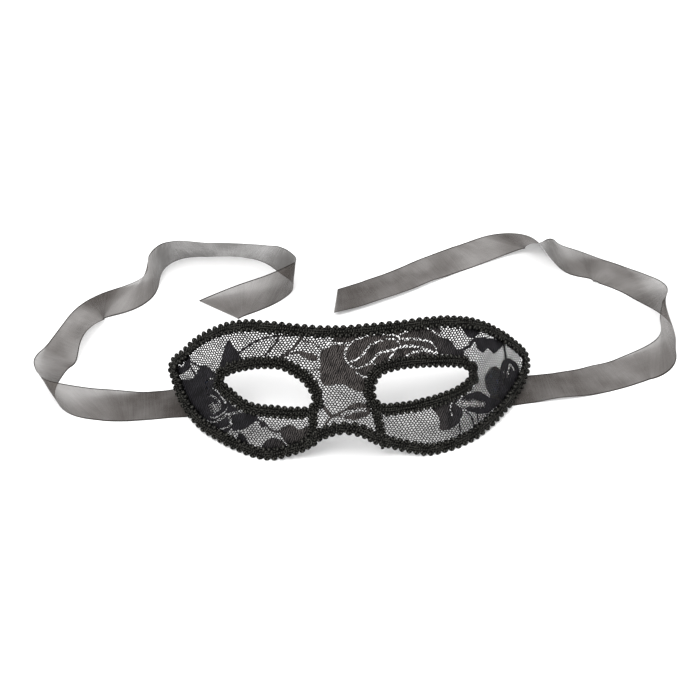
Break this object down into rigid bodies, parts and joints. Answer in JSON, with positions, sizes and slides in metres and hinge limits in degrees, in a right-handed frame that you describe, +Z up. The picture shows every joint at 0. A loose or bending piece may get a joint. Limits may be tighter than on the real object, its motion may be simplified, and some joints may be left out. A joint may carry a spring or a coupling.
{
  "type": "lace mask",
  "caption": "Black lace half mask with scalloped braid edging and two sheer ribbon ties, lying on a table.",
  "frame": {"origin": "on the table, under the middle of the whole mask and its spread ribbons", "axes": "+X to the viewer's right across the mask, +Y away from the viewer behind the mask, +Z up"},
  "size_m": [0.3206, 0.1654, 0.0481],
  "materials": {
    "lace": "matte",
    "braid": "satin",
    "ribbon": "sheer",
    "pad": "glossy"
  },
  "bodies": {
    "root": {"lace_shell": "lace", "outer_braid": "braid", "eye_braid_left": "braid", "eye_braid_right": "braid", "seam_braid_left": "braid", "seam_braid_right": "braid", "ribbon_left": "ribbon", "ribbon_right": "ribbon", "ribbon_pad_left": "pad", "ribbon_pad_right": "pad"}
  },
  "joints": []
}
